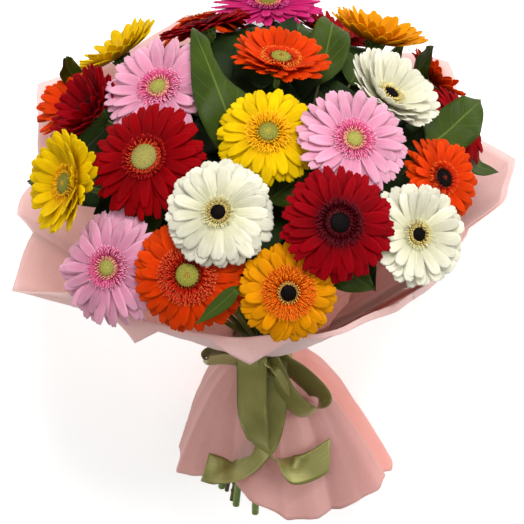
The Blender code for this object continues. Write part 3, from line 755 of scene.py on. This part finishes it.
def leaf_material():
    made, tree, shader = new_material("leaf_green", Specular_IOR_Level=0.13)
    across, length = tree.surface()
    tone = tree.node("Attribute", output=2, attribute_name="tone")
    middle = abs(across - 0.5)
    rib = 1 - middle.between(0.008, 0.03)
    lines = ((length - middle * 0.55) * SIDE_VEINS + tone) % 1
    veins = 1 - abs(lines - 0.5).between(0.0, 0.07)
    patches = tree.noise(28.0, 4.0)
    cells = tree.node("TexVoronoi", {"Vector": tree.node("TexCoord", output=3), "Scale": 900.0})
    body = (patches.between(0.3, 0.7) * 0.6 + tone * 0.4).mix(linear(34, 49, 5), linear(60, 78, 12))
    body = (veins * 0.16).mix(body, linear(104, 124, 40))
    base = (rib * 0.4).mix(body, linear(120, 138, 54))
    height = patches * 0.5 - veins * 0.35 - rib * 0.8 + cells * 0.06
    connect(tree, shader, base, patches * 0.18 + cells * 0.1 + 0.34, height, 0.5, 0.0012)
    let_light_through(tree, shader, linear(90, 130, 30), 0.12)
    return made


def add_leaf(bm, tone_layer, foot, tip, width, over, tone, cells=(LEAF_ACROSS, LEAF_ALONG), kind=0):
    """A blade on its own grid; returns its foot and a point a little way up its rib."""
    run = tip - foot
    viewed = dome_point(*LEAF_VIEWED, 0) - DOME
    facing = ((foot + tip) / 2 - DOME).normalized() + viewed.normalized()
    across = run.cross(facing).normalized()
    outward = across.cross(run).normalized()

    def blade_point(share, side):
        half = width / 2 * (share ** LEAF_FOOT * (1 - share) ** LEAF_TIP) / LEAF_WIDEST
        bearing = (foot - DOME).normalized().lerp((tip - DOME).normalized(), share).normalized()
        radius = (foot - DOME).length * (1 - share) + (tip - DOME).length * share
        rib = DOME + bearing * (radius + run.length * LEAF_ARCH * math.sin(math.pi * share))
        wave = LEAF_WAVE * math.sin(share * 17 + side * 2 + tone * 6) * side * side
        point = rib + across * half * side + outward * (half * LEAF_FOLD * abs(side) ** 1.4 + wave)
        return point + pass_heads(point, over)

    blade = new_sheet(bm, *cells)
    for vert in blade:
        share = 0.006 + 0.988 * (vert.co.y + 1) / 2
        vert.co = blade_point(share, vert.co.x)
        vert[tone_layer] = tone
    paint(blade, kind)
    return blade_point(0, 0), blade_point(0.16, 0)


def twig(start, leave, foot, inside, steps):
    """Points on a twig, from its start to a leaf's foot, where it runs into the leaf's rib."""
    reach = (foot - start).length
    return arc(start, start + leave.normalized() * reach * TWIG_HANDLE,
               foot - (inside - foot).normalized() * reach * RIB_HANDLE, foot, steps)


leaf_green = leaf_material()
# The lower leaves' material: a leaf green painted darker, as painted shade deep in the bunch between the
# heads
painted_shade_green = green_material("painted_shade_leaf_green", (18, 30, 6), (36, 54, 14), 0.5, Specular_IOR_Level=0.12)
deep_tips = []
for k in range(DEEP_LEAVES):
    tilt = math.degrees(math.acos(1 - (1 - math.cos(math.radians(DEEP_TILT))) * (k + 0.5) / DEEP_LEAVES))
    turn = (math.degrees(k * GOLDEN_TURN) + 180) % 360 - 180
    gaps = [abs((turn - slot[1] + 180) % 360 - 180) for slot, *leaves in LEAFY_STEMS]
    deep_tips.append((gaps.index(min(gaps)), tilt, turn))
# The woody foot of a twig is thicker, with knots at these shares of its length from the cut end
WOOD_RADIUS = 2.3 * MM
KNOTS = (0.07, 0.13, 0.24, 0.34)
KNOT_SWELL = 1.3
twig_brown = green_material("twig_bark", (62, 62, 30), (104, 92, 56), 0.6)
for number, (slot, *leaves) in enumerate(LEAFY_STEMS, 1):
    draw = random.Random(200 + number)
    bm = new_form()
    tone_layer = bm.verts.layers.float.new("tone")
    start = along(CORE_HALF, slot[0] * MM, math.radians(slot[1]))
    across_bundle = math.radians(slot[1] + 150)
    bundle_end = along(CUT_SCATTER * draw.random() - CUT_LOW, CUT_SPREAD * 0.9, across_bundle)
    lines = []
    for order, (foot, tip, width, over) in enumerate(leaves, 1):
        foot, tip = dome_point(*foot), dome_point(*tip)
        foot, inside = add_leaf(bm, tone_layer, foot, tip, width * MM, over, draw.random())
        path = twig(start, foot - TIE, foot, inside, 12)
        if order == 1:
            first_twig = path
            below = along(-CORE_HALF, slot[0] * MM * 0.8, across_bundle)
            lines.append(([bundle_end, below, *path], TWIG_RADIUS))
            lines.append(([bundle_end, below], WOOD_RADIUS))
            for share in KNOTS:
                knot = bundle_end.lerp(below, share)
                knot_end = knot + (below - bundle_end).normalized() * WOOD_RADIUS
                lines.append(([knot, knot_end], WOOD_RADIUS * KNOT_SWELL))
        else:
            lines.append((path, TWIG_RADIUS * SIDE_TWIG))
        start = first_twig[min(2 * order, 6)]
    for band in range(DEEP_BANDS):
        blades = []
        for owner, tilt, turn in deep_tips:
            if owner == number - 1 and int(tilt / DEEP_TILT * DEEP_BANDS) == band:
                outer = (tilt / DEEP_TILT) ** 3
                foot = dome_point(tilt - DEEP_SPAN, turn, DEEP_FOOT - DEEP_LOWER * outer)
                behind = max(0, -math.cos(math.radians(turn))) * (1.25 - outer)
                turn += draw.uniform(-4, 4)
                tip = dome_point(tilt, turn, draw.uniform(*DEEP_TIPS) + DEEP_BEHIND * behind)
                # Material index 1 gives these leaves the green painted dark with shade
                blades.append(add_leaf(bm, tone_layer, foot, tip, DEEP_WIDTH * MM, (), 0, DEEP_CELLS, 1))
        if blades:
            middle = sum((foot for foot, inside in blades), Vector()) / len(blades)
            fork = start.lerp(middle, DEEP_FORK)
            lines.append(([start, fork], TWIG_RADIUS * SIDE_TWIG))
        for foot, inside in blades:
            lines.append((twig(fork, fork - start, foot, inside, 6), TWIG_RADIUS * DEEP_TWIG))
    node = f"leafy_stem_{number}"
    thicken(finish(node + "_leaves", bm, [leaf_green, painted_shade_green], node, "leaf"), LEAF_THICK, 0)
    rods(node + "_twigs", lines, 2, twig_brown, node, "stem")


# Wrap, outer sheet
# One rectangle of pink non-woven sheet, about as stiff as heavy paper, rolled round the bunch and drawn in at
# the waist. Its edges lap on the right, its corners stick out of the collar, and its front rim is turned out.
# Rim and hem as (turn round the axis in degrees, radius, height along the axis) in mm
RIM = (
    (-161, 226, 240), (-143, 235, 200), (-125, 268, 202), (-106, 216, 162), (-95, 226, 146), (-86, 211, 152),
    (-76, 234, 118), (-57, 207, 162), (-30, 190, 176), (0, 188, 178), (36, 193, 185), (55, 182, 174),
    (80, 192, 172), (106, 250, 174), (117, 224, 184), (131, 234, 224), (158, 212, 208), (180, 222, 214),
)
HEM = (
    (-135, 80, -138), (-90, 80, -122), (-60, 90, -127), (-22, 83, -111), (-10, 86, -122), (0, 88, -133),
    (17, 89, -157), (34, 98, -158), (47, 106, -154), (68, 120, -130), (78, 128, -146), (95, 120, -144),
    (135, 100, -150), (180, 86, -146),
)
# Where the sheet laps over itself, and how far its upper end stands off there
LAP = (44, 68)
LAP_GAP = 0.8 * MM
LAP_RISE = 9 * MM
WAIST_RADIUS = 28.1 * MM
WAIST_HALF = 13 * MM
SKIRT_SWELL = 0.55
COLLAR_SWELL = 0.86
COLUMN_STEP = 1.6
SKIRT_ROWS = 30
COLLAR_ROWS = 44
FOLD_ROWS = 6
SHEET_THICK = 0.5 * MM
# Soft folds of the collar and skirt: (folds round the ring, phase, depth in mm, how soon they fade)
COLLAR_FOLDS = ((5, 0.4, 2.6, 0.9), (9, 2.0, 2.2, 0.7), (16, 1.1, 1.3, 0.4), (27, 4.0, 0.8, 0.25))
SKIRT_FOLDS = ((6, 0.0, 2.4, 0.8), (11, 1.7, 2.0, 0.5), (19, 0.6, 1.5, 0.2))
# Single creases: (turn, width in degrees, depth in mm at the free edge)
COLLAR_CREASES = ((-118, 7, -5), (-100, 5, 6), (-66, 6, -7), (-44, 4, 4), (20, 6, 4), (66, 5, -6),
                  (92, 5, 7), (118, 8, -6), (140, 5, 4))
SKIRT_CREASES = ((-62, 9, 5), (-42, 6, -5), (-24, 7, -9), (-8, 5, 4), (12, 8, -3), (30, 8, 4), (44, 3, -4),
                 (62, 5, 9), (84, 9, 8))
# How far the front rim is turned out, as (turn, mm)
TURNED_OUT = ((-74, 0), (-56, 4), (-41, 5), (-33.5, 24), (-27, 5), (-14, 3), (-3, 25), (8, 3), (34, 6),
              (58, 5), (78, 0))
# The sheet's two ends: the edge, the side of the waist, the swell, the folds and the creases of each
COLLAR = (RIM, 1, COLLAR_SWELL, COLLAR_FOLDS, COLLAR_CREASES)
SKIRT = (HEM, -1, SKIRT_SWELL, SKIRT_FOLDS, SKIRT_CREASES)
CRUMPLE = 0.9 * MM


def between_rows(table, turn, column, ring=True):
    """Value of a table of (turn, ...) rows at a turn, straight between its rows."""
    if ring:
        turn = (turn + 180) % 360 - 180
        table = [(table[-1][0] - 360, *table[-1][1:]), *table, (table[0][0] + 360, *table[0][1:])]
    for low, high in zip(table, table[1:]):
        if low[0] <= turn <= high[0]:
            return low[column] + (high[column] - low[column]) * (turn - low[0]) / (high[0] - low[0])
    return 0


def folds(turn, share, waves, creases):
    """Height of the sheet's folds, in metres outwards, growing from the gathers at the waist."""
    around = math.radians(turn)
    total = sum(depth * (1 - 1.6 * abs(math.sin(around * count / 2 + phase))) * share ** fade
                for count, phase, depth, fade in waves)
    for middle, width, depth in creases:
        off = ((turn - middle + 180) % 360 - 180) / width
        total += depth * share * math.exp(-abs(off) ** 1.5)
    return total * MM


def on_table(point):
    point.z = max(point.z, 2 * SHEET_THICK)
    return point


def crumpled(point, share):
    small = noise.noise(point * 38) + 0.5 * noise.noise(point * 90)
    return small * CRUMPLE * min(1, share * 3)


def sheet_point(end, turn, share, lift=0.0):
    """Outer sheet on one side of the waist: share 0 is the waist and 1 the rim or the hem."""
    edge, way, swell, waves, creases = end
    radius, height = (between_rows(edge, turn, column) * MM for column in (1, 2))
    radius = WAIST_RADIUS + (radius - WAIST_RADIUS) * share ** swell
    waist = way * WAIST_HALF
    point = along(waist + (height - waist) * share, radius, math.radians(turn))
    bulge = folds(turn, share, waves, creases) + crumpled(point, share)
    return on_table(point + away(math.radians(turn)) * (bulge + lift))


def turned_out(turn, share):
    """The part of the front rim that is folded over to the outside, with its two hanging points."""
    edge = sheet_point(COLLAR, turn, 1)
    back = (sheet_point(COLLAR, turn, 0.96) - edge).normalized()
    side = away(math.radians(turn))
    reach = between_rows(TURNED_OUT, (turn + 180) % 360 - 180, 1, ring=False) * MM
    bend = min(1, share * 3)
    heading = (back * bend + side * (1.1 - 0.2 * share)).normalized()
    return edge + heading * (reach * share + 0.6 * MM * share)


def sheet_turns(start, end):
    """Turns of the sheet's columns, with one at every corner of the rim."""
    corners = {row[0] + trip for row in (*RIM, *TURNED_OUT) for trip in (0, 360)}
    stops = sorted({start, end, *(corner for corner in corners if start < corner < end)})
    turns = []
    for low, high in zip(stops, stops[1:]):
        parts = max(1, round((high - low) / COLUMN_STEP))
        turns += [low + (high - low) * k / parts for k in range(parts)]
    return turns + [end]


def sheet_mesh(turns, rows, point_at):
    """A grid with a column for each turn and a given number of rows, each point put in its place."""
    bm = new_form()
    for vert in new_sheet(bm, len(turns) - 1, rows):
        column = round((vert.co.x + 1) / 2 * (len(turns) - 1))
        row = round((vert.co.y + 1) / 2 * rows)
        vert.co = point_at(turns[column], row)
    return bm


# Colours of the sheet's fibres and of its thin patches, each in the skirt and in the collar: the skirt's are
# darker, painted shade under the collar, and the collar's lighter, painted light coming through it from
# behind. Then the colour of its under end, painted salmon as the light coming through it where it shows
# beyond the lap of the skirt. The last colour fades between two shares of the way along the sheet.
WRAP_COLOURS = (((218, 176, 170), (242, 220, 217)), ((234, 200, 194), (252, 238, 235)))
PAINTED_BACKLIGHT_END = (250, 172, 158)
UNDER_SHARES = (0.12, 0.24)


def wrap_material():
    made, tree, shader = new_material("pink_non_woven", Sheen_Weight=0.4, Sheen_Roughness=0.6,
                                      Specular_IOR_Level=0.2)
    place = tree.node("TexCoord", output=3)
    cloud = tree.noise(22.0, 4.0)
    ways = (tree.node("Mapping", {"Vector": place, "Scale": scale, "Rotation": (0, 0, turn)})
            for scale, turn in (((900, 120, 900), 0.5), ((140, 800, 300), -0.4)))
    long_fibres, cross_fibres = (tree.noise(1.0, place=way) for way in ways)
    fibres = long_fibres * 0.5 + cross_fibres * 0.5
    height = tree.node("VectorMath", {0: place, 1: AXIS}, 1, operation="DOT_PRODUCT") - TIE.dot(AXIS)
    # Painted light and shade: 1 on the collar above the waist, painted lighter, 0 on the skirt, painted
    # darker
    painted_lit_collar = height.between(-0.02, 0.08)
    low, high = (painted_lit_collar.mix(linear(*skirt), linear(*collar)) for skirt, collar in WRAP_COLOURS)
    base = (fibres.between(0.35, 0.65) * 0.65 + cloud.between(0.35, 0.7) * 0.35).mix(low, high)
    around = tree.surface()[0]
    # The under end's salmon is painted light coming through the sheet
    under = (1 - around.between(*UNDER_SHARES)) * (1 - painted_lit_collar)
    base = (under * 0.7).mix(base, linear(*PAINTED_BACKLIGHT_END))
    connect(tree, shader, base, fibres * 0.2 + 0.6, fibres + cloud * 0.4, 0.35, 0.0006)
    let_light_through(tree, shader, linear(250, 208, 200), 0.48)
    return made


wrap_pink = wrap_material()


def outer_point(turn, row):
    """Rows run from the hem up to the waist, up the collar and over the turned-out rim."""
    lap = max(0, turn - 360 - LAP[0]) / (LAP[1] - LAP[0])
    lift = 0 if lap == 0 else LAP_GAP + LAP_RISE * lap ** 1.5
    place = turn - 360 if turn > 180 else turn
    if row <= SKIRT_ROWS:
        share = 1 - row / SKIRT_ROWS
        return sheet_point(SKIRT, place, share, lift * share)
    row -= SKIRT_ROWS + 2
    if row <= COLLAR_ROWS:
        share = max(row, 0) / COLLAR_ROWS
        return sheet_point(COLLAR, place, share, lift * share * 0.5)
    return turned_out(place, (row - COLLAR_ROWS) / FOLD_ROWS)


bm = sheet_mesh(sheet_turns(LAP[0], 360 + LAP[1]), SKIRT_ROWS + 2 + COLLAR_ROWS + FOLD_ROWS, outer_point)
wrap_outer = finish("wrap_outer_sheet_dressed", bm, [wrap_pink], "wrap_outer_sheet", "wrap")
thicken(wrap_outer, SHEET_THICK)


# Wrap, inner sheet
# A second, smaller sheet of the same stuff, laid inside the collar on the right, so that its cut edge shows
# there in front of the outer one.
INNER_TURNS = (44, 148)
INNER_ROWS = 34
INNER_FOOT = 0.24
INNER_TOP = 0.995
INNER_GAP = -2.4 * MM
INNER_CURL = -7 * MM


def inner_point(turn, row):
    share = INNER_FOOT + (INNER_TOP - INNER_FOOT) * row / INNER_ROWS
    edge = max(0, 1 - (turn - INNER_TURNS[0]) / 12) ** 2
    return sheet_point(COLLAR, turn, share, INNER_GAP + INNER_CURL * edge * share)


bm = sheet_mesh(sheet_turns(*INNER_TURNS), INNER_ROWS, inner_point)
wrap_inner = finish("wrap_inner_sheet_dressed", bm, [wrap_pink], "wrap_inner_sheet", "wrap")
thicken(wrap_inner, SHEET_THICK)


# Ribbon
# Olive satin ribbon, 29 mm wide, tied round the waist over the wrap: a band, a flat knot, a loop on each side
# and two tails that cross on the skirt and end in slanting cuts.
# A strip's points are (right, height along the axis, front) in mm from the binding point
RIBBON_HALF = 14.5 * MM
BAND_HALF = 12.5 * MM
RIBBON_THICK = 0.35 * MM
RIBBON_ACROSS = 8
RIBBON_STEPS = 8
BAND_RADIUS = 29.2 * MM
BAND_ROWS = 96
KNOT = (11 * MM, 11 * MM, 5 * MM)
KNOT_FRONT = 34 * MM
KNOT_PINCH = 0.12
CROWN = 0.05
RIGHT_LOOP = (
    (3, 6, 36), (9, 20, 38), (21, 12, 41), (33, 5, 44), (44, -5, 47), (53, -15, 50), (57, -24, 53),
    (52, -31, 57), (43, -32, 60), (35, -26, 60), (27, -16, 58), (20, -6, 54), (15, 5, 49), (9, 14, 41),
    (3, 4, 36),
)
LEFT_LOOP = (
    (-3, 6, 35), (-12, 17, 41), (-26, 27, 46), (-40, 34, 50), (-50, 37, 53), (-54, 35, 56), (-51, 32, 58),
    (-38, 32, 56), (-23, 26, 50), (-10, 14, 41), (-3, 3, 35),
)
RIGHT_SIDE = (0.42, 0.84, 0.30)
LEFT_SIDE = (-0.15, 0.85, 0.50)
# The tails come over the knot, cross on the skirt and twist there: each point, and the ribbon's way across it
TAIL_TO_RIGHT = (
    ((-3, 4, 37), (1, 0, 0)), ((-7, 16, 39), (1, 0, 0)), ((-9.6, 23, 43), (1, 0, 0)),
    ((-9.6, 15, 49), (1, 0, 0)), ((-9.6, -5, 56), (1, 0.02, 0)), ((-9.6, -24, 62), (1, 0.04, 0.1)),
    ((-7.7, -41, 68), (0.9, 0.3, 0.3)), ((-3, -61, 74), (0.6, 0.6, 0.5)), ((4, -71, 79), (0.3, 0.7, 0.6)),
    ((12.5, -78, 82), (0, 0.7, 0.75)), ((22, -84, 84), (-0.1, 0.15, 1)), ((31, -88, 84), (-0.1, -0.5, 0.86)),
    ((43, -89, 80), (0, -0.76, 0.65)), ((54, -88, 74), (0, -0.8, 0.6)), ((66, -85, 66), (0, -0.8, 0.55)),
)
TAIL_TO_LEFT = (
    ((3, 3, 37), (1, 0, 0)), ((7, 14, 38), (1, 0, 0)), ((9.6, 17, 41), (1, 0, 0)), ((9.6, 1, 46), (1, 0, 0)),
    ((9.6, -14, 51), (1, 0, 0)), ((9.6, -28, 57), (1, -0.04, 0)), ((7.7, -42, 62), (0.95, -0.2, 0)),
    ((3.8, -57, 68), (0.85, -0.4, 0.2)), ((-3, -69, 73), (0.6, -0.3, 0.7)),
    ((-11.5, -81, 76), (0.5, -0.1, 0.85)), ((-21, -90, 78), (0.4, 0, 0.92)),
    ((-31, -97, 78), (0.2, 0.1, 0.98)), ((-43, -99, 74), (0, -0.4, 0.9)),
    ((-56, -101, 67), (-0.1, -0.77, 0.63)),
)
# A rolled edge of ribbon that comes out of the knot beside the right loop, with its half-widths in mm
ROLLED = (((9, 14, 44), 5), ((14, 14, 50), 5.5), ((19, 8, 56), 5), ((23, -1, 61), 3.5), ((26, -9, 63), 0.6))
ROLLED_SIDE = (0.8, 0.5, -0.3)
# The slants of the tails' cut ends, to the right and to the left
TAIL_CUTS = (-0.6, 0.1)


def satin_material():
    made, tree, shader = new_material("olive_satin", Metallic=0.35, Specular_IOR_Level=0.6, Anisotropic=0.6,
                                      Sheen_Weight=0.3, Sheen_Tint=(0.8, 0.8, 0.4, 1.0))
    across, length = tree.surface()
    threads = tree.noise(1.0, place=tree.combine(across * 90, length * 12, 0.0))
    cloud = tree.noise(30.0)
    selvedge = abs(across - 0.5).between(0.46, 0.475)
    base = (threads * 0.5 + cloud * 0.5).between(0.3, 0.7).mix(linear(112, 108, 46), linear(156, 152, 84))
    base = (selvedge * 0.5).mix(base, linear(92, 86, 38))
    connect(tree, shader, base, threads * 0.12 + 0.26, threads + selvedge, 0.25, 0.0003)
    return made


def add_strip(bm, points, sides, cut=0.0, halves=None):
    """A ribbon strip along points with its way across at each, slightly crowned, its last end cut aslant."""
    count = len(points) - 1
    for vert in new_sheet(bm, RIBBON_ACROSS, count):
        row = round((vert.co.y + 1) / 2 * count)
        across = vert.co.x
        heading = (points[min(row + 1, count)] - points[max(row - 1, 0)]).normalized()
        side = (sides[row] - heading * sides[row].dot(heading)).normalized()
        half = halves[row] if halves else RIBBON_HALF
        slant = heading * half * cut * across * max(0, 1 - (count - row) / RIBBON_STEPS)
        crown = side.cross(heading) * half * CROWN * (1 - across * across)
        vert.co = points[row] + side * half * across + slant + crown


def in_bunch(right, height, front):
    """A direction given along the bunch's right, axis and front."""
    return RIGHT * right + AXIS * height + FRONT * front


def ribbon_line(places):
    """A soft line through places that are given in mm from the binding point."""
    return soft_line([TIE + in_bunch(*place) * MM for place in places], RIBBON_STEPS)


bm = new_form()
for places, side in ((RIGHT_LOOP, RIGHT_SIDE), (LEFT_LOOP, LEFT_SIDE)):
    points = ribbon_line(places)
    add_strip(bm, points, [in_bunch(*side)] * len(points))
for tail, cut in zip((TAIL_TO_RIGHT, TAIL_TO_LEFT), TAIL_CUTS):
    sides = soft_line([in_bunch(*side) for place, side in tail], RIBBON_STEPS)
    add_strip(bm, ribbon_line(place for place, side in tail), sides, cut)
points = ribbon_line(place for place, half in ROLLED)
halves = [half.x * MM for half in soft_line([Vector((half, 0, 0)) for place, half in ROLLED], RIBBON_STEPS)]
add_strip(bm, points, [in_bunch(*ROLLED_SIDE)] * len(points), 0, halves)
points = [along(0, BAND_RADIUS + 0.3 * MM, 2 * math.pi * k / BAND_ROWS) for k in range(BAND_ROWS + 1)]
add_strip(bm, points, [AXIS] * len(points), 0, [BAND_HALF] * len(points))
knot = bmesh.ops.create_uvsphere(bm, u_segments=24, v_segments=16, radius=1, calc_uvs=True)["verts"]
for vert in knot:
    x, y, z = vert.co
    pinch = 1 - KNOT_PINCH * math.cos(x * 9) * (1 - abs(z))
    vert.co = TIE + in_bunch(x * KNOT[0] * pinch, y * KNOT[1], z * KNOT[2] + KNOT_FRONT)
ribbon = finish("ribbon_dressed", bm, [satin_material()], "ribbon_band_and_bow", "ribbon")
thicken(ribbon, RIBBON_THICK, 0)


# Stage
# A plain pale floor, soft light from over the heads and from both sides, and the camera looking down on
# the bunch from the photograph's side.
VIEW_DISTANCE = 2.0
VIEW_FOCAL = 145.5
VIEW_CENTRE = (0.0, 10 / 524)
FLOOR_HALF = 6
WORLD_STRENGTH = 0.27
floor_bm = bmesh.new()
bmesh.ops.create_grid(floor_bm, x_segments=1, y_segments=1, size=FLOOR_HALF)
floor_mesh = bpy.data.meshes.new("floor")
floor_bm.to_mesh(floor_mesh)
floor_bm.free()
floor = placed("floor", floor_mesh)
made, tree, shader = new_material("floor", Specular_IOR_Level=0.1, Emission_Color=(1, 1, 1, 1),
                                  Emission_Strength=0.42)
grain = tree.noise(40.0)
base = grain.mix(linear(248, 249, 247), linear(252, 252, 251))
connect(tree, shader, base, grain * 0.1 + 0.8, grain, 0.02, 0.001)
floor_mesh.materials.append(made)

view_up = Vector((0, math.sin(VIEW_TILT), -math.cos(VIEW_TILT)))
camera = placed("camera", bpy.data.cameras.new("camera"))
camera.data.lens = VIEW_FOCAL
camera.data.sensor_width = 36
camera.data.clip_end = 50
camera.data.shift_x, camera.data.shift_y = VIEW_CENTRE
camera.matrix_world = Matrix((RIGHT, view_up, VIEWED_FROM)).transposed().to_4x4()
camera.matrix_world.translation = DOME + VIEWED_FROM * VIEW_DISTANCE
bpy.context.scene.camera = camera

# Each light: its name, place, size in metres and power in watts
LIGHTS = (
    ("key", (0.3, 1.8, 1.7), 1.2, 53), ("side", (1.8, 0.4, 0.9), 1.4, 20),
    ("left", (-1.3, 0.7, 1.7), 1.6, 12), ("front", (-0.2, 0.1, 2.3), 1.8, 4),
    ("low", (-0.5, -1.6, 1.2), 1.4, 1.5),
)
for name, spot, size, power in LIGHTS:
    light = placed(name, bpy.data.lights.new(name, "AREA"))
    light.data.shape = "DISK"
    light.data.size = size
    light.data.energy = power
    light.matrix_world = (Vector(spot) - TIE).to_track_quat("Z", "Y").to_matrix().to_4x4()
    light.matrix_world.translation = Vector(spot)
world = bpy.data.worlds.new("studio")
world.use_nodes = True
background = world.node_tree.nodes["Background"]
background.inputs["Color"].default_value = (1, 1, 1, 1)
background.inputs["Strength"].default_value = WORLD_STRENGTH
bpy.context.scene.world = world
bpy.context.scene.view_settings.view_transform = "Standard"
